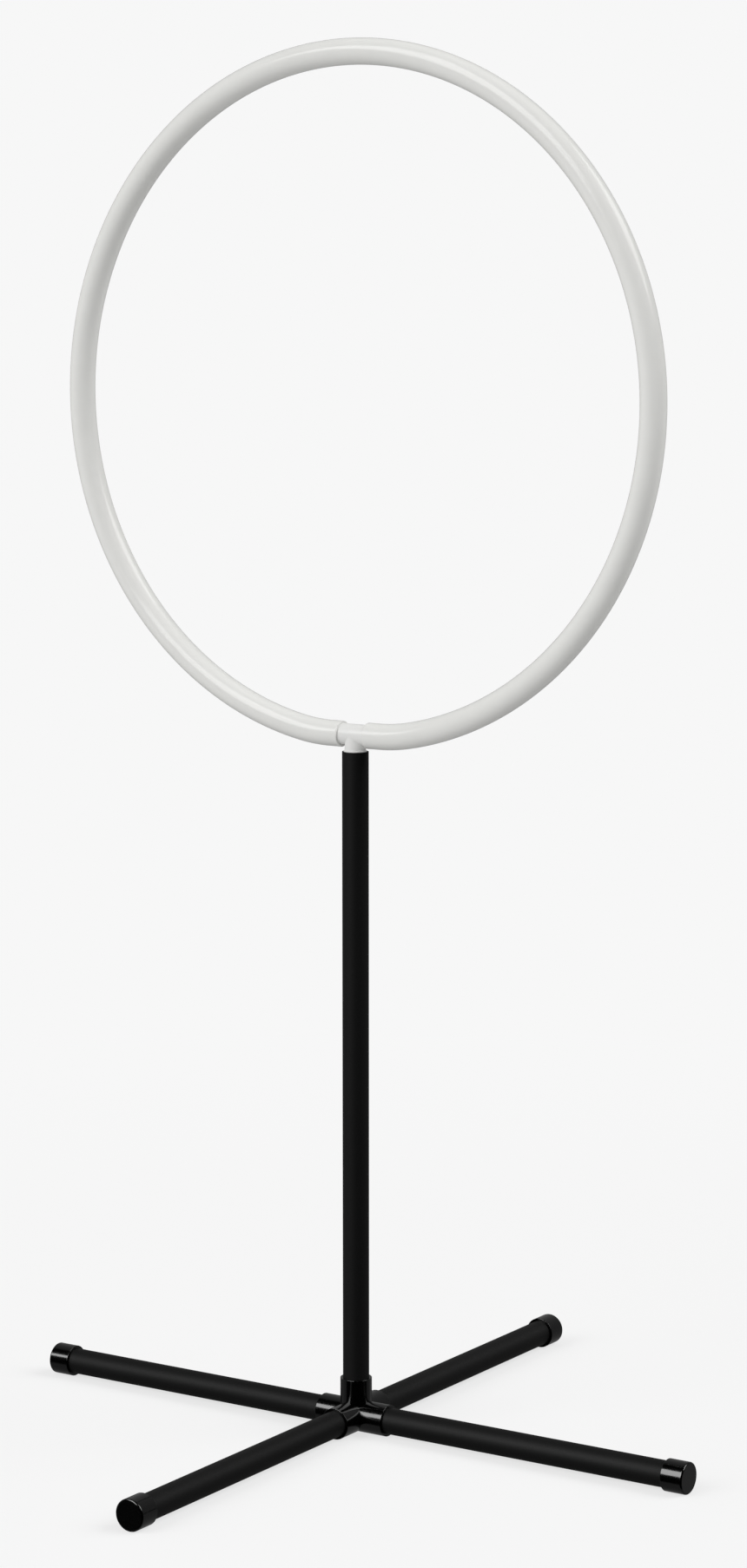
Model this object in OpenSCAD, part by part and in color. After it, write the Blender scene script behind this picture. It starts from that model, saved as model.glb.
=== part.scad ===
// Free-standing ring goal: an upright hoop on a pole, in a five-way cross
// fitting with four capped pipe legs. Every joint is a plain push fit, so the
// whole goal comes apart by hand.
// Frame: origin on the floor under the pole, +Z up, +X along the hoop's plane
// towards the right leg, +Y towards the rear leg. Millimetres.

/* [Pipe] */
// Outside diameter of the pole and the leg pipes
pipe_d = 33.4; // [30:0.1:36]
// Bore of the pole and the leg pipes
pipe_bore = 26.6; // [26:0.1:28]
// Length of the pole
pole_len = 830; // [500:5:1200]
// Length of each leg pipe
leg_len = 452; // [300:1:600]
// Radial clearance of a pipe or spigot in what holds it
fit_gap = 0.05; // [0.02:0.01:0.1]

/* [Hoop] */
// Outside diameter of the hoop tube
tube_d = 32.6; // [32:0.1:36]
// Bore of the hoop tube
tube_bore = 26.6; // [25:0.1:27.4]
// Radius of the ring, to the middle of the tube
ring_r = 419.2; // [350:0.1:500]
// Radius of the tighter bends on both sides of the tee
bend_r = 227; // [180:1:260]
// Free length between the two ends of the tube, where the tee shows
tube_ends_apart = 37.6; // [34:0.1:44]
// Rounding of the tube's cut ends
tube_end_round = 0.6; // [0.3:0.1:2]
// How much the tube's wall draws in on each side where it is bent tighter
bend_draw = 0.05; // [0.05:0.01:0.2]

/* [Tee] */
// Length of the straight run, spigot end to spigot end
tee_run_len = 72; // [60:1:84]
// Wall of the tee
tee_wall = 2.8; // [2:0.1:3.5]
// Height of the run's axis above the rim of the pole
tee_rise = 20.9; // [18:0.1:26]
// Length of the branch spigot inside the pole
tee_spigot_len = 32; // [20:1:45]
// Rounding of the three spigots' ends
spigot_round = 1; // [0.4:0.1:1.6]
// Diameter of the flared foot that sits on the rim of the pole
foot_d = 29.5; // [28.5:0.1:31]
// Radius of the hollow flare between the branch and its foot
foot_flare_r = 2; // [1.8:0.1:4]
// Thickness of the foot under the flare's lowest point
foot_floor = 0.9; // [0.4:0.1:1.5]

/* [Cross fitting] */
// Wall of a socket of the cross fitting
socket_wall = 3.35; // [2.5:0.05:4.5]
// Distance from the centre of the fitting to the mouth of each socket
socket_reach = 49.6; // [46:0.1:60]
// Depth of each socket, from its mouth to the step that stops the pipe
socket_depth = 27.5; // [22:0.1:28]
// Rounding of the mouths of the sockets and of the caps
mouth_round = 0.5; // [0.2:0.1:1.2]
// How far the right, front and rear legs stand off that step
leg_standoff = 5.2; // [0.2:0.1:8]
// How far the left leg stands off it
left_leg_standoff = 0.3; // [0.2:0.1:8]

/* [End caps] */
// Wall of a cap round the pipe
cap_wall = 3.35; // [2.5:0.05:4.5]
// Overall length of a cap
cap_len = 29.5; // [24:0.1:40]
// Thickness of a cap's closed end
cap_end_wall = 3.5; // [2:0.1:5]
// Rounding of the edge of a cap's closed end
cap_end_round = 2.2; // [0.8:0.1:3]

/* [Hidden] */

$fn = 96;
// Facets round the hoop and round its tube
ring_fn = 240;
tube_fn = 96;
// How far a cut runs past what it cuts
past = 1;
// How far a bend runs on inside the wall of the stretch that it joins
bend_lap = 1;

pipe_r = pipe_d / 2;
tube_r = tube_d / 2;
socket_bore_r = pipe_r + fit_gap;
socket_r = socket_bore_r + socket_wall;
cap_bore_r = pipe_r + fit_gap;
cap_r = cap_bore_r + cap_wall;
run_r = tube_bore / 2 - fit_gap;
branch_r = pipe_bore / 2 - fit_gap;

// The goal stands on its caps and on the fitting, whichever is fatter.
leg_axis_z = max(cap_r, socket_r);
socket_stop = socket_reach - socket_depth;
pole_foot_z = leg_axis_z + socket_stop;
pole_top_z = pole_foot_z + pole_len;
run_axis_z = pole_top_z + tee_rise;

// The tube runs straight over the tee's spigots, then through a tight bend
// that meets the ring without a kink. The two circles touch inside.
straight_half = tee_run_len / 2;
tube_end_x = tube_ends_apart / 2;
bend_angle = asin(straight_half / (ring_r - bend_r));
ring_centre_z = run_axis_z + bend_r + (ring_r - bend_r) * cos(bend_angle);

// Headings of the four legs about the pole
RIGHT = 0;
REAR = 90;
LEFT = 180;
FRONT = 270;

BLACK_GLOSS = "#0b0b0c";
BLACK_SATIN = "#1d1d1e";
WHITE = "#dcdcd8";

// Outline of a round bar's wall, from its axis out: the outer corners of the
// lower and upper ends are rounded.
module wall_outline(r, len, low_round, high_round) {
    difference() {
        square([r, len]);
        if (low_round > 0) corner_waste(r, low_round);
        if (high_round > 0) translate([0, len]) mirror([0, 1]) corner_waste(r, high_round);
    }
}

// What a rounding takes off the corner at [r, 0]
module corner_waste(r, round) {
    difference() {
        translate([r - round, -past]) square([round + past, round + past]);
        translate([r - round, round]) circle(round);
    }
}

// Plain pipe along +Z from z = 0
module pipe(r, bore_r, len) {
    difference() {
        cylinder(r = r, h = len);
        translate([0, 0, -past]) cylinder(r = bore_r, h = len + 2 * past);
    }
}

// Turns a shape made along +Z so that it points along a leg's heading
module along_leg(heading, from_centre) {
    rotate([0, 0, heading])
        translate([from_centre, 0, leg_axis_z])
            rotate([0, 90, 0])
                children();
}

// One socket's outside, from the centre of the fitting to its mouth
module socket_outside() {
    rotate_extrude() wall_outline(socket_r, socket_reach, 0, mouth_round);
}

// One socket's bore, with the narrower passage to the middle of the fitting
module socket_inside() {
    translate([0, 0, socket_stop]) cylinder(r = socket_bore_r, h = socket_depth + past);
    cylinder(r = pipe_bore / 2, h = socket_reach);
}

module base_cross() {
    color(BLACK_GLOSS) difference() {
        union() {
            translate([0, 0, leg_axis_z]) socket_outside();
            for (heading = [RIGHT, REAR, LEFT, FRONT]) along_leg(heading, 0) socket_outside();
        }
        translate([0, 0, leg_axis_z]) socket_inside();
        for (heading = [RIGHT, REAR, LEFT, FRONT]) along_leg(heading, 0) socket_inside();
    }
}

module pole() {
    color(BLACK_SATIN) translate([0, 0, pole_foot_z]) pipe(pipe_r, pipe_bore / 2, pole_len);
}

module leg(heading, standoff) {
    color(BLACK_SATIN)
        along_leg(heading, socket_stop + standoff)
            pipe(pipe_r, pipe_bore / 2, leg_len);
}

// A cap is pushed on until the pipe meets its closed end.
module cap(heading, standoff) {
    pipe_end = socket_stop + standoff + leg_len;
    mouth = pipe_end + cap_end_wall - cap_len;
    color(BLACK_GLOSS) along_leg(heading, mouth) difference() {
        rotate_extrude() wall_outline(cap_r, cap_len, mouth_round, cap_end_round);
        translate([0, 0, -past]) cylinder(r = cap_bore_r, h = cap_len - cap_end_wall + past);
    }
}

// Flared foot of the branch, from its flat underside at z = 0 up
module tee_foot() {
    flare_top = foot_floor + foot_flare_r;
    rotate_extrude() difference() {
        square([foot_d / 2, flare_top]);
        translate([branch_r + foot_flare_r, flare_top]) circle(foot_flare_r);
    }
}

module hoop_tee() {
    branch_len = tee_spigot_len + tee_rise;
    color(WHITE) difference() {
        union() {
            translate([-straight_half, 0, run_axis_z])
                rotate([0, 90, 0])
                    rotate_extrude() wall_outline(run_r, tee_run_len, spigot_round, spigot_round);
            translate([0, 0, run_axis_z - branch_len])
                rotate_extrude() wall_outline(branch_r, branch_len, spigot_round, 0);
            translate([0, 0, pole_top_z]) tee_foot();
        }
        translate([-straight_half - past, 0, run_axis_z])
            rotate([0, 90, 0])
                cylinder(r = run_r - tee_wall, h = tee_run_len + 2 * past);
        translate([0, 0, run_axis_z - branch_len - past])
            cylinder(r = branch_r - tee_wall, h = branch_len + past);
    }
}

// Straight end of the hoop tube, on the +X side
module tube_straight() {
    straight_len = straight_half - tube_end_x;
    translate([tube_end_x, 0, run_axis_z]) rotate([0, 90, 0]) difference() {
        rotate_extrude() wall_outline(tube_r, straight_len, tube_end_round, 0);
        translate([0, 0, -past]) cylinder(r = tube_bore / 2, h = straight_len + 2 * past);
    }
}

// A stretch of tube bent to a radius about the Y axis. Angles are in the
// hoop's plane, from +X towards +Z.
module tube_arc(radius, from_angle, sweep, draw) {
    rotate([90, 0, 0])
        rotate_extrude(angle = sweep, start = from_angle, $fn = ring_fn)
            translate([radius, 0])
                difference() {
                    circle(tube_r - draw, $fn = tube_fn);
                    circle(tube_bore / 2 + draw, $fn = tube_fn);
                }
}

// Half of what lies between the tube's end and the ring, on the +X side
module tube_foot() {
    lap_angle = bend_lap / bend_r * 180 / PI;
    tube_straight();
    translate([straight_half, 0, run_axis_z + bend_r])
        tube_arc(bend_r, -90 - lap_angle, bend_angle + 2 * lap_angle, bend_draw);
}

module hoop_tube() {
    color(WHITE) union() {
        tube_foot();
        mirror([1, 0, 0]) tube_foot();
        translate([0, 0, ring_centre_z]) tube_arc(ring_r, bend_angle - 90, 360 - 2 * bend_angle, 0);
    }
}

module leg_right() { leg(RIGHT, leg_standoff); }
module leg_left() { leg(LEFT, left_leg_standoff); }
module leg_front() { leg(FRONT, leg_standoff); }
module leg_rear() { leg(REAR, leg_standoff); }
module cap_right() { cap(RIGHT, leg_standoff); }
module cap_left() { cap(LEFT, left_leg_standoff); }
module cap_front() { cap(FRONT, leg_standoff); }
module cap_rear() { cap(REAR, leg_standoff); }

base_cross();
pole();
hoop_tee();
hoop_tube();
leg_right();
leg_left();
leg_front();
leg_rear();
cap_right();
cap_left();
cap_front();
cap_rear();
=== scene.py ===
"""Free-standing ring goal: finished pieces, finishes and studio.

Laid out as a Blender add-on. Each operator makes one piece, or one group of
like pieces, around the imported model, and the panel lists them in order.
Lengths are metres in the goal's own frame: origin on the floor under the
pole, +Z up, +X along the hoop's plane, +Y towards the rear leg.
"""

import math

import bmesh
import bpy
from bpy.props import FloatProperty, FloatVectorProperty, IntProperty, PointerProperty
from bpy.types import Operator, Panel, PropertyGroup
from mathutils import Matrix, Quaternion, Vector


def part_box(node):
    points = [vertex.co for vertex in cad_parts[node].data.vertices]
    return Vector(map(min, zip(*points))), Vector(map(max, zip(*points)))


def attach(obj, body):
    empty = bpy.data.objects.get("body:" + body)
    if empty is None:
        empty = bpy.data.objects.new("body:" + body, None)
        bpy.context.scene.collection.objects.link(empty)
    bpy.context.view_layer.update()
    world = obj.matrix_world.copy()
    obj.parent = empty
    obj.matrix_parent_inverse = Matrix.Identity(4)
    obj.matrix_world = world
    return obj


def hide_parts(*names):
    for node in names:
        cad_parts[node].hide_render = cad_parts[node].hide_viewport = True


bl_info = {
    "name": "Ring Goal",
    "version": (1, 0, 0),
    "blender": (4, 5, 0),
    "location": "3D View > Sidebar > Ring Goal",
    "description": "Finishes a free-standing ring goal and sets up its studio",
    "category": "Object",
}

MM = 0.001
LEGS = ("right", "left", "front", "rear")
# Degrees between two faces from which the edge between them shows as sharp
SHARP_ANGLE = 40

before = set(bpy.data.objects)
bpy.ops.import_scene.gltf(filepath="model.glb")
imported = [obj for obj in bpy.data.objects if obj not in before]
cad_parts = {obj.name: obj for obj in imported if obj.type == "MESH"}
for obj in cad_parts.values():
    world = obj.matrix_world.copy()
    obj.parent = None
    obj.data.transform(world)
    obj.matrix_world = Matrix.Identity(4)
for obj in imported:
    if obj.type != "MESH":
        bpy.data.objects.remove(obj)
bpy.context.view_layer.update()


# --- Colours and shader nodes ------------------------------------------------


def linear(hex_colour):
    """An sRGB hex colour as linear red, green and blue."""
    parts = (int(hex_colour[i : i + 2], 16) / 255 for i in (1, 3, 5))
    return [c / 12.92 if c <= 0.04045 else ((c + 0.055) / 1.055) ** 2.4 for c in parts]


def add_node(tree, kind, settings=None, inputs=None):
    """Adds a shader node. An input is given a value, or the socket that feeds it."""
    made = tree.nodes.new("ShaderNode" + kind)
    for name, value in (settings or {}).items():
        setattr(made, name, value)
    for name, value in (inputs or {}).items():
        if isinstance(value, bpy.types.NodeSocket):
            tree.links.new(value, made.inputs[name])
        else:
            made.inputs[name].default_value = value
    return made


def new_material(name):
    """An empty node material and its tree."""
    made = bpy.data.materials.new(name)
    made.use_nodes = True
    made.node_tree.nodes.clear()
    return made, made.node_tree


def shade(colour, factor):
    """A colour made darker or lighter, with an alpha of 1."""
    return (*[min(1, c * factor) for c in colour[:3]], 1)


def mix_colours(tree, factor, low, high):
    """Two colours mixed by a factor."""
    # A Mix node's inputs 6 and 7 and its output 2 are the ones for colours.
    made = add_node(tree, "Mix", {"data_type": "RGBA"}, {0: factor, 6: low, 7: high})
    return made.outputs[2]


def object_place(tree):
    """Where a point lies in its piece's own coordinates."""
    return add_node(tree, "TexCoord").outputs["Object"]


def pipe_way(tree):
    """Where a point lies round and along its pipe."""
    return add_node(tree, "Attribute", {"attribute_name": "along_pipe"}).outputs["Vector"]


def noise(tree, place, across, detail):
    """Noise whose patches are about so far across."""
    made = add_node(
        tree, "TexNoise", inputs={"Vector": place, "Scale": 1 / across, "Detail": detail}
    )
    return made.outputs["Fac"]


def die_lines(tree, way, apart, length):
    """Lines that the die leaves along a pipe, about so far apart round it and so long."""
    drawn_out = add_node(
        tree, "Mapping", inputs={"Vector": way, "Scale": (1, 1, apart / length)}
    )
    return noise(tree, drawn_out.outputs["Vector"], across=apart, detail=2)


def plastic(tree, colour, tint, rough, relief, ior, specular):
    """Joins a plastic's patterns to its surface.

    tint is a pattern, and how far it takes the colour down and up. rough is a
    pattern, and the roughness at its low and at its high end. relief is a
    pattern, its strength and its depth.
    """
    pattern, spread = tint
    tinted = mix_colours(tree, pattern, shade(colour, 1 - spread), shade(colour, 1 + spread))
    pattern, low, high = rough
    roughness = add_node(
        tree, "MapRange", inputs={"Value": pattern, "To Min": low, "To Max": high}
    )
    pattern, strength, depth = relief
    bump = add_node(
        tree, "Bump", inputs={"Strength": strength, "Distance": depth, "Height": pattern}
    )
    surface = add_node(
        tree, "BsdfPrincipled",
        inputs={
            "Base Color": tinted,
            "Roughness": roughness.outputs["Result"],
            "IOR": ior,
            "Specular IOR Level": specular,
            "Normal": bump.outputs["Normal"],
        },
    )
    add_node(tree, "OutputMaterial", inputs={"Surface": surface.outputs["BSDF"]})


# --- Finishes ----------------------------------------------------------------


def extruded_pvc_satin_black(tree, finish):
    """Rigid PVC pipe, extruded, in satin black."""
    # To the eye: a dull black that stays nearly even all round, with fine
    # lines along the pipe from the die and a few soft handling marks.
    way = pipe_way(tree)
    lines = die_lines(tree, way, apart=1 * MM, length=400 * MM)
    marks = noise(tree, way, across=45 * MM, detail=4)
    grain = noise(tree, way, across=0.6 * MM, detail=1)
    grain_share = 0.35
    uneven = add_node(
        tree, "Math", {"operation": "MULTIPLY_ADD"}, {0: grain, 1: grain_share, 2: lines}
    )
    plastic(
        tree, finish.pipe_black, tint=(marks, 0.14), rough=(lines, 0.56, 0.6),
        relief=(uneven.outputs["Value"], 0.25, 0.02 * MM), ior=1.53, specular=0.32,
    )


def moulded_pvc_gloss_black(tree, finish):
    """Injection-moulded PVC fitting from a polished mould, in gloss black."""
    # To the eye: deep black with sharp reflections, which waver a little
    # because a moulded wall sinks as it cools.
    place = object_place(tree)
    sink = noise(tree, place, across=14 * MM, detail=1)
    haze = noise(tree, place, across=6 * MM, detail=3)
    plastic(
        tree, finish.fitting_black, tint=(haze, 0.1), rough=(haze, 0.12, 0.15),
        relief=(sink, 0.1, 0.06 * MM), ior=1.54, specular=0.95,
    )


def moulded_pvc_white(tree, finish):
    """Injection-moulded PVC fitting, in white."""
    # To the eye: clean and bright, with a softer shine than the tube beside it.
    cloud = noise(tree, object_place(tree), across=9 * MM, detail=3)
    plastic(
        tree, finish.fitting_white, tint=(cloud, 0.015), rough=(cloud, 0.26, 0.36),
        relief=(cloud, 0.15, 0.04 * MM), ior=1.53, specular=0.5,
    )


def extruded_polyethylene_white(tree, finish):
    """Polyethylene tube, extruded and bent to a ring, in white."""
    # To the eye: a smooth white with long clean shine lines, which waver a
    # little with the lines that the die left, and a faint cloudiness.
    way = pipe_way(tree)
    lines = die_lines(tree, way, apart=2 * MM, length=200 * MM)
    cloud = noise(tree, way, across=25 * MM, detail=4)
    plastic(
        tree, finish.tube_white, tint=(cloud, 0.025), rough=(lines, 0.15, 0.17),
        relief=(lines, 0.1, 0.02 * MM), ior=1.51, specular=0.42,
    )


def finish_of(kind, finish):
    """A finish by its name, made the first time that a piece asks for it."""
    made = bpy.data.materials.get(kind.__name__)
    if made is None:
        made, tree = new_material(kind.__name__)
        kind(tree, finish)
    return made


# --- Mesh helpers ------------------------------------------------------------


def new_piece(name, bm, material, body, node):
    """Turns a finished bmesh into a piece that stands for a node and rides a body."""
    bmesh.ops.remove_doubles(bm, verts=bm.verts, dist=0.001 * MM)
    bmesh.ops.recalc_face_normals(bm, faces=bm.faces)
    mesh = bpy.data.meshes.new(name)
    bm.to_mesh(mesh)
    bm.free()
    mesh.shade_smooth()
    mesh.set_sharp_from_angle(angle=math.radians(SHARP_ANGLE))
    mesh.materials.append(material)
    piece = bpy.data.objects.new(name, mesh)
    bpy.context.scene.collection.objects.link(piece)
    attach(piece, body)
    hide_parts(node)
    return piece


def refinish(node, material):
    """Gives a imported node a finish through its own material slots."""
    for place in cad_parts[node].material_slots:
        place.material = material


def circle(bm, radius, segments, place):
    """The edges of a new circle, in order."""
    ring = bmesh.ops.create_circle(bm, segments=segments, radius=radius, matrix=place)["verts"]
    return list(dict.fromkeys(e for v in ring for e in v.link_edges))


def verts_of(edges):
    """The vertices of some edges, in order."""
    return list(dict.fromkeys(v for e in edges for v in e.verts))


def extrude(bm, loop, way):
    """Draws a loop of edges out and gives the loop at its far end."""
    grown = bmesh.ops.extrude_edge_only(bm, edges=loop)["geom"]
    moved = {v for v in grown if isinstance(v, bmesh.types.BMVert)}
    bmesh.ops.translate(bm, verts=list(moved), vec=way)
    return [e for e in grown if isinstance(e, bmesh.types.BMEdge) and set(e.verts) <= moved]


def close_end(bm, outer, inner, centre, ratio):
    """Closes a pipe's end with a flat ring, drawn in from its outer loop to its bore's loop."""
    rim = verts_of(extrude(bm, outer, (0, 0, 0)))
    bmesh.ops.scale(
        bm, verts=rim, vec=(ratio, ratio, ratio), space=Matrix.Translation(-centre)
    )
    bmesh.ops.remove_doubles(bm, verts=rim + verts_of(inner), dist=0.05 * MM)


def ease(bm, edges, radius, segments):
    """Rounds a pipe's outer end edges."""
    bmesh.ops.bevel(
        bm, geom=edges, offset=radius, affect="EDGES",
        segments=segments, profile=0.5, material=-1,
    )


def pipe_bmesh(radius, bore_radius, length, edge, segments):
    """A pipe up +Z from the origin, its cut ends eased, with its own way along it."""
    bm = bmesh.new()
    starts, ends = [], []
    # Short first and last stretches keep the shine of the long one even.
    short = 3 * edge
    for r in (radius, bore_radius):
        loop = circle(bm, r, segments, Matrix())
        starts.append(loop)
        for stretch in (short, length - 2 * short, short):
            loop = extrude(bm, loop, (0, 0, stretch))
        ends.append(loop)
    for (outer, inner), height in ((starts, 0), (ends, length)):
        close_end(bm, outer, inner, Vector((0, 0, height)), bore_radius / radius)
    ease(bm, starts[0] + ends[0], edge, segments=3)
    keep_way(bm, lambda place: place)
    return bm


def keep_way(bm, along):
    """Stores where each vertex lies round and along its pipe, for the finish."""
    way = bm.verts.layers.float_vector.new("along_pipe")
    for v in bm.verts:
        v[way] = along(v.co)


# --- Sizes and colours -------------------------------------------------------


def box_size(node):
    """Length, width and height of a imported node."""
    low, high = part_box(node)
    return high - low


class RingGoalSizes(PropertyGroup):
    """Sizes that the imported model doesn't give by its boxes."""

    pipe_bore: FloatProperty(
        name="Pipe Bore", description="Bore of the pole and the leg pipes",
        default=26.6 * MM, min=0.02, max=0.03, precision=4, unit="LENGTH",
    )
    pipe_edge: FloatProperty(
        name="Pipe Edge", description="Rounding of the pipes' cut ends",
        default=0.35 * MM, min=0.0001, max=0.001, precision=5, unit="LENGTH",
    )
    tube_bore: FloatProperty(
        name="Tube Bore", description="Bore of the hoop tube",
        default=26.6 * MM, min=0.02, max=0.03, precision=4, unit="LENGTH",
    )
    tube_round: FloatProperty(
        name="Tube End Rounding", description="Rounding of the hoop tube's cut ends",
        default=0.6 * MM, min=0.0003, max=0.002, precision=4, unit="LENGTH",
    )
    tube_gap: FloatProperty(
        name="Gap of the Tube", description="Free length between the tube's two ends",
        default=37.6 * MM, min=0.034, max=0.044, precision=4, unit="LENGTH",
    )
    bend_radius: FloatProperty(
        name="Bend Radius", description="Radius of the tighter bends beside the tee",
        default=227 * MM, min=0.18, max=0.26, precision=3, unit="LENGTH",
    )
    round_segments: IntProperty(
        name="Segments", description="Segments round a pipe or the tube",
        default=64, min=24, max=96,
    )
    ring_steps: IntProperty(
        name="Ring Steps", description="Steps of the spin that makes the ring",
        default=240, min=90, max=360,
    )


class RingGoalFinishes(PropertyGroup):
    """Colours of the four plastics."""

    pipe_black: FloatVectorProperty(
        name="Pipe Black", description="Colour of the pole and the leg pipes",
        subtype="COLOR", size=3, min=0, max=1, default=linear("#0B0B0B"),
    )
    fitting_black: FloatVectorProperty(
        name="Fitting Black", description="Colour of the cross fitting and the caps",
        subtype="COLOR", size=3, min=0, max=1, default=linear("#020202"),
    )
    tube_white: FloatVectorProperty(
        name="Tube White", description="Colour of the hoop tube",
        subtype="COLOR", size=3, min=0, max=1, default=linear("#E7E7E4"),
    )
    fitting_white: FloatVectorProperty(
        name="Fitting White", description="Colour of the tee",
        subtype="COLOR", size=3, min=0, max=1, default=linear("#E8E8E6"),
    )


class RingGoalStudio(PropertyGroup):
    """Floor, light and camera."""

    backdrop: FloatVectorProperty(
        name="Backdrop", description="Colour of the floor and of what lies behind it",
        subtype="COLOR", size=3, min=0, max=1, default=linear("#F7F7F7"),
    )
    right_light: FloatProperty(
        name="Right Softbox", description="Brightness of the large light on the right",
        default=3.0, min=0, max=10,
    )
    left_light: FloatProperty(
        name="Left Softbox", description="Brightness of the large light on the left",
        default=3.95, min=0, max=10,
    )
    fill_light: FloatProperty(
        name="Right Fill", description="Strength of the soft fill from the right",
        default=1.28, min=0, max=10,
    )


# --- Pieces ------------------------------------------------------------------


class RINGGOAL_OT_pipes(Operator):
    """Make the pole and the four leg pipes"""

    bl_idname = "ring_goal.pipes"
    bl_label = "Pole and Legs"
    bl_options = {"REGISTER", "UNDO"}

    def execute(self, context):
        sizes = context.scene.ring_goal_sizes
        material = finish_of(extruded_pvc_satin_black, context.scene.ring_goal_finishes)
        for node in ("pole", *("leg_" + side for side in LEGS)):
            low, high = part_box(node)
            size = high - low
            axis = max(range(3), key=lambda i: size[i])
            bm = pipe_bmesh(
                min(size) / 2, sizes.pipe_bore / 2, size[axis],
                sizes.pipe_edge, sizes.round_segments,
            )
            start = (low + high) / 2
            start[axis] = low[axis]
            turn = Vector((0, 0, 1)).rotation_difference(Vector([i == axis for i in range(3)]))
            bm.transform(Matrix.Translation(start) @ turn.to_matrix().to_4x4())
            new_piece(node + "_pipe", bm, material, node, node)
        return {"FINISHED"}


class RINGGOAL_OT_hoop(Operator):
    """Bend the hoop tube round from one side of the tee to the other"""

    bl_idname = "ring_goal.hoop"
    bl_label = "Hoop Tube"
    bl_options = {"REGISTER", "UNDO"}

    def execute(self, context):
        sizes = context.scene.ring_goal_sizes
        low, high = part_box("hoop_tube")
        tube_r = (high.y - low.y) / 2
        ring_r = (high.x - low.x) / 2 - tube_r
        ring_z = high.z - tube_r - ring_r
        straight = box_size("hoop_tee").x / 2
        bend = math.asin(straight / (ring_r - sizes.bend_radius))
        bend_z = ring_z - (ring_r - sizes.bend_radius) * math.cos(bend)
        foot_z = bend_z - sizes.bend_radius
        end_x = sizes.tube_gap / 2

        bm = bmesh.new()
        starts, ends = [], []
        bore_r = sizes.tube_bore / 2
        at_end = Matrix.Translation((end_x, 0, foot_z)) @ Matrix.Rotation(math.pi / 2, 4, "Y")
        near = 2 * sizes.tube_round
        far = straight - end_x - near
        # The bore is nearly out of sight, so it takes half the steps. A bend beside
        # the tee is short, so it takes a twentieth of the ring's.
        for radius, steps in ((tube_r, sizes.ring_steps), (bore_r, sizes.ring_steps // 2)):
            bend_steps = steps // 20
            loop = circle(bm, radius, sizes.round_segments, at_end)
            starts.append(loop)
            for stretch in (near, far):
                loop = extrude(bm, loop, (stretch, 0, 0))
            for centre, angle, count in (
                ((straight, 0, bend_z), bend, bend_steps),
                ((0, 0, ring_z), 2 * (math.pi - bend), steps),
                ((-straight, 0, bend_z), bend, bend_steps),
            ):
                turned = bmesh.ops.spin(
                    bm, geom=loop, cent=centre, axis=(0, -1, 0), angle=angle, steps=count
                )["geom_last"]
                loop = [e for e in turned if isinstance(e, bmesh.types.BMEdge)]
            for stretch in (far, near):
                loop = extrude(bm, loop, (stretch, 0, 0))
            ends.append(loop)
        for (outer, inner), x in ((starts, end_x), (ends, -end_x)):
            close_end(bm, outer, inner, Vector((x, 0, foot_z)), bore_r / tube_r)
        ease(bm, starts[0] + ends[0], sizes.tube_round, segments=6)

        def round_the_ring(place):
            out = Vector((place.x, place.z - ring_z))
            return out.length - ring_r, place.y, math.atan2(out.x, out.y) * ring_r

        keep_way(bm, round_the_ring)
        material = finish_of(extruded_polyethylene_white, context.scene.ring_goal_finishes)
        new_piece("hoop_tube_bent", bm, material, "hoop", "hoop_tube")
        return {"FINISHED"}


class RINGGOAL_OT_fittings(Operator):
    """Finish the tee, the cross fitting and the four caps"""

    bl_idname = "ring_goal.fittings"
    bl_label = "Fittings"
    bl_options = {"REGISTER", "UNDO"}

    def execute(self, context):
        finish = context.scene.ring_goal_finishes
        black = finish_of(moulded_pvc_gloss_black, finish)
        refinish("hoop_tee", finish_of(moulded_pvc_white, finish))
        for node in ("base_cross", *("cap_" + side for side in LEGS)):
            refinish(node, black)
        return {"FINISHED"}


# --- Studio ------------------------------------------------------------------

# Heading from the pole to the side that the goal is looked at from, and the
# heading to the right of one who looks
FRONT = (0.602, -0.799)
RIGHT = (0.8376, 0.5463)

# Radius of the floor, whose edge is out of sight
FLOOR_RADIUS = 60
# Distances from the pole between which the goal's shadow fades from the floor
SHADOW_FADE = (0.9, 2.5)
# Share of the floor's tone that is its own glow, which keeps the shadow pale
FLOOR_GLOW = 0.75
# What the lights give an open floor, as a share of full white
FLOOR_LIGHT = 1.025
# Share of the light that the floor throws back at the goal
FLOOR_BOUNCE = 0.57

# Middle of the goal, which the softboxes face
MIDDLE = (0, 0, 0.9)
# The softboxes hang so far off that the whole goal is lit alike.
SOFTBOX_DISTANCE = 40
# Each softbox: its heading from the goal, its two sides per metre of its
# distance, and how far it is turned about its heading, in degrees
SOFTBOXES = {
    "right": ((0.6852, 0.2845, 0.6708), (0.68, 0.546), 30),
    "left": ((-0.3049, -0.7903, 0.5317), (0.66, 0.685), -35),
}
# Where the fill hangs, its heading, and how wide it is, in degrees
FILL_PLACE = (3, 2, 3)
FILL_HEADING = (0.6486, 0.3927, 0.652)
FILL_WIDTH = 50

# Camera: its place, how far it looks down and turns left, in degrees, its
# focal length and sensor width in millimetres, and the shift of its lens
CAMERA_PLACE = (2.72998, -4.11493, 1.52040)
CAMERA_DOWN = 8.366
CAMERA_TURN = 33.11
CAMERA_LENS = 91.97
CAMERA_SENSOR = 36
CAMERA_SHIFT = (-0.00842, 0.01874)


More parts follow.
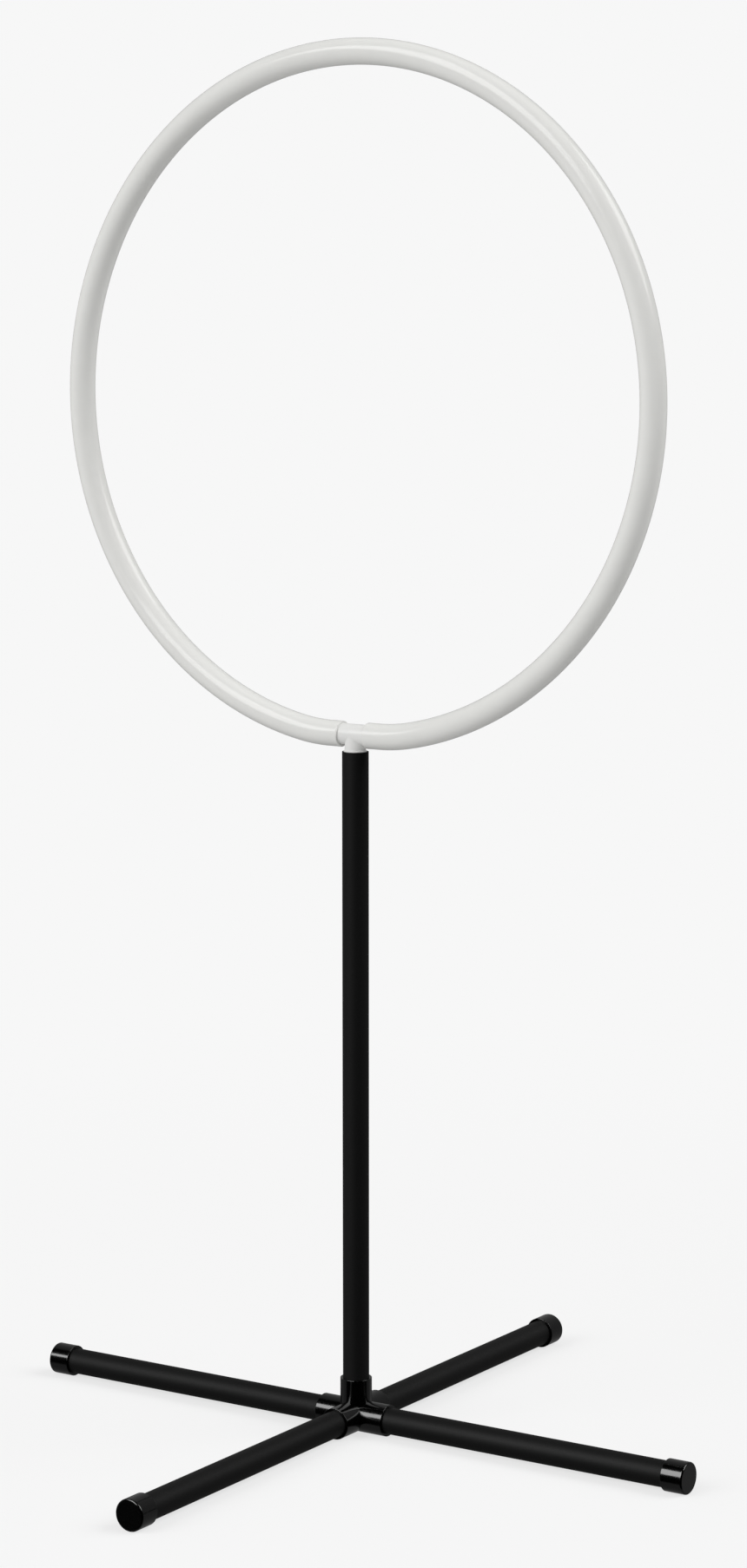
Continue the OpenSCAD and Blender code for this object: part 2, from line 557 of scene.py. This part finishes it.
class RINGGOAL_OT_studio(Operator):
    """Lay the floor, hang the lights and set the camera"""

    bl_idname = "ring_goal.studio"
    bl_label = "Studio"
    bl_options = {"REGISTER", "UNDO"}

    def execute(self, context):
        studio = context.scene.ring_goal_studio
        self.floor(context, studio)
        self.surroundings(context, studio)
        self.lights(context, studio)
        self.camera(context)
        return {"FINISHED"}

    def floor(self, context, studio):
        """Lays the floor, which takes the goal's shadow and throws light back at it."""
        bm = bmesh.new()
        bmesh.ops.create_circle(bm, cap_ends=True, segments=96, radius=FLOOR_RADIUS)
        mesh = bpy.data.meshes.new("studio_floor")
        bm.to_mesh(mesh)
        bm.free()
        made, tree = new_material("studio_floor_pale")
        rays = add_node(tree, "LightPath")
        far = add_node(tree, "VectorMath", {"operation": "LENGTH"}, {0: object_place(tree)})
        fade_from, fade_to = SHADOW_FADE
        away = add_node(
            tree, "MapRange", {"interpolation_type": "SMOOTHSTEP"},
            {"Value": far.outputs["Value"], "From Min": fade_from, "From Max": fade_to},
        )
        # The floor takes the goal's shadow near it and is the backdrop's tone beyond.
        glow = add_node(
            tree, "Emission", inputs={"Color": shade(studio.backdrop, FLOOR_GLOW)}
        )
        shadowed = add_node(
            tree, "BsdfDiffuse",
            inputs={"Color": shade(studio.backdrop, (1 - FLOOR_GLOW) / FLOOR_LIGHT)},
        )
        near = add_node(
            tree, "AddShader", inputs={0: glow.outputs[0], 1: shadowed.outputs[0]}
        )
        beyond = add_node(tree, "Emission", inputs={"Color": shade(studio.backdrop, 1)})
        seen = add_node(
            tree, "MixShader",
            inputs={0: away.outputs["Result"], 1: near.outputs[0], 2: beyond.outputs[0]},
        )
        lit = add_node(
            tree, "BsdfDiffuse", inputs={"Color": shade((1, 1, 1), FLOOR_BOUNCE)}
        )
        surface = add_node(
            tree, "MixShader",
            inputs={0: rays.outputs["Is Camera Ray"], 1: lit.outputs[0], 2: seen.outputs[0]},
        )
        add_node(tree, "OutputMaterial", inputs={"Surface": surface.outputs[0]})
        mesh.materials.append(made)
        floor = bpy.data.objects.new("studio_floor", mesh)
        context.scene.collection.objects.link(floor)
        # The surroundings give the shine from below, without the goal's shadow.
        floor.visible_glossy = False

    def surroundings(self, context, studio):
        """Sets the soft light and the shine that come from all round."""
        world = bpy.data.worlds.new("studio_surroundings")
        context.scene.world = world
        world.use_nodes = True
        tree = world.node_tree
        tree.nodes.clear()
        rays = add_node(tree, "LightPath")
        heading = add_node(tree, "TexCoord").outputs["Generated"]
        # Soft light comes from the left and fades out towards the right.
        soft_light, gone_at = 0.64, 0.6
        soft = add_node(
            tree, "MapRange",
            inputs={
                "Value": self.lean(tree, heading, (*RIGHT, 0)),
                "From Min": -1, "From Max": gone_at, "To Min": soft_light, "To Max": 0,
            },
        )
        # In a shine the studio is dark in front and overhead, and palest behind.
        at_sides, added_behind = 0.095, 0.16
        front = self.lean(tree, heading, (*FRONT, 0))
        squared = add_node(tree, "Math", {"operation": "MULTIPLY"}, {0: front, 1: front})
        pale = add_node(
            tree, "Math", {"operation": "MULTIPLY_ADD"},
            {0: squared.outputs["Value"], 1: added_behind, 2: at_sides},
        )
        overhead, pale_up_to, dark_from = 0.45, -0.05, 0.15
        shine = add_node(
            tree, "MapRange", {"interpolation_type": "SMOOTHSTEP"},
            {
                "Value": self.lean(tree, heading, (*FRONT, overhead)),
                "From Min": pale_up_to, "From Max": dark_from,
                "To Min": pale.outputs["Value"], "To Max": 0,
            },
        )
        light = add_node(
            tree, "Mix", {"data_type": "FLOAT"},
            {
                0: rays.outputs["Is Glossy Ray"],
                2: soft.outputs["Result"],
                3: shine.outputs["Result"],
            },
        )
        seen = mix_colours(
            tree, rays.outputs["Is Camera Ray"], light.outputs[0], shade(studio.backdrop, 1)
        )
        around = add_node(tree, "Background", inputs={"Color": seen})
        add_node(tree, "OutputWorld", inputs={"Surface": around.outputs[0]})

    @staticmethod
    def lean(tree, heading, way):
        """How far a heading leans towards a way."""
        made = add_node(
            tree, "VectorMath", {"operation": "DOT_PRODUCT"}, {0: heading, 1: way}
        )
        return made.outputs["Value"]

    def lights(self, context, studio):
        """Hangs the two softboxes and the fill."""
        for side, radiance in (("right", studio.right_light), ("left", studio.left_light)):
            towards, sides, turn = SOFTBOXES[side]
            lamp = bpy.data.lights.new("studio_softbox_" + side, "AREA")
            lamp.shape = "RECTANGLE"
            lamp.size, lamp.size_y = (length * SOFTBOX_DISTANCE for length in sides)
            # The power that makes a flat lamp of this size so bright
            lamp.energy = radiance * math.pi * lamp.size * lamp.size_y
            place = Vector(MIDDLE) + Vector(towards) * SOFTBOX_DISTANCE
            self.hang(context, lamp, place, towards, turn)
        # The fill is too wide to show as a shine.
        lamp = bpy.data.lights.new("studio_fill_right", "SUN")
        lamp.energy = studio.fill_light
        lamp.angle = math.radians(FILL_WIDTH)
        holder = self.hang(context, lamp, Vector(FILL_PLACE), FILL_HEADING, 0)
        holder.visible_glossy = False

    @staticmethod
    def hang(context, lamp, place, towards, turn):
        """Hangs a lamp so that it shines back along its heading."""
        holder = bpy.data.objects.new(lamp.name, lamp)
        aim = Vector(towards).to_track_quat("Z", "Y") @ Quaternion((0, 0, 1), math.radians(turn))
        holder.location = place
        holder.rotation_euler = aim.to_euler()
        holder.visible_camera = False
        context.scene.collection.objects.link(holder)
        return holder

    def camera(self, context):
        """Sets the camera and the view's colours."""
        lens = bpy.data.cameras.new("studio_camera")
        lens.lens = CAMERA_LENS
        lens.sensor_width = CAMERA_SENSOR
        lens.shift_x, lens.shift_y = CAMERA_SHIFT
        holder = bpy.data.objects.new("studio_camera", lens)
        holder.location = CAMERA_PLACE
        holder.rotation_euler = (
            math.radians(90 - CAMERA_DOWN), 0, math.radians(CAMERA_TURN)
        )
        context.scene.collection.objects.link(holder)
        context.scene.camera = holder
        context.scene.view_settings.view_transform = "Standard"


# --- Panel and registration --------------------------------------------------

STEPS = (RINGGOAL_OT_pipes, RINGGOAL_OT_hoop, RINGGOAL_OT_fittings, RINGGOAL_OT_studio)


class RINGGOAL_PT_steps(Panel):
    """Lists the goal's pieces, sizes and finishes"""

    bl_label = "Ring Goal"
    bl_idname = "RINGGOAL_PT_steps"
    bl_space_type = "VIEW_3D"
    bl_region_type = "UI"
    bl_category = "Ring Goal"

    def draw(self, context):
        for group in (
            context.scene.ring_goal_sizes,
            context.scene.ring_goal_finishes,
            context.scene.ring_goal_studio,
        ):
            column = self.layout.column(align=True)
            for name in group.__annotations__:
                column.prop(group, name)
        for step in STEPS:
            self.layout.operator(step.bl_idname)


CLASSES = (RingGoalSizes, RingGoalFinishes, RingGoalStudio, *STEPS, RINGGOAL_PT_steps)


def register():
    for cls in CLASSES:
        bpy.utils.register_class(cls)
    bpy.types.Scene.ring_goal_sizes = PointerProperty(type=RingGoalSizes)
    bpy.types.Scene.ring_goal_finishes = PointerProperty(type=RingGoalFinishes)
    bpy.types.Scene.ring_goal_studio = PointerProperty(type=RingGoalStudio)


def unregister():
    del bpy.types.Scene.ring_goal_studio
    del bpy.types.Scene.ring_goal_finishes
    del bpy.types.Scene.ring_goal_sizes
    for cls in reversed(CLASSES):
        bpy.utils.unregister_class(cls)


def main():
    register()
    for step in STEPS:
        group, name = step.bl_idname.split(".")
        getattr(getattr(bpy.ops, group), name)()


if __name__ == "__main__":
    main()
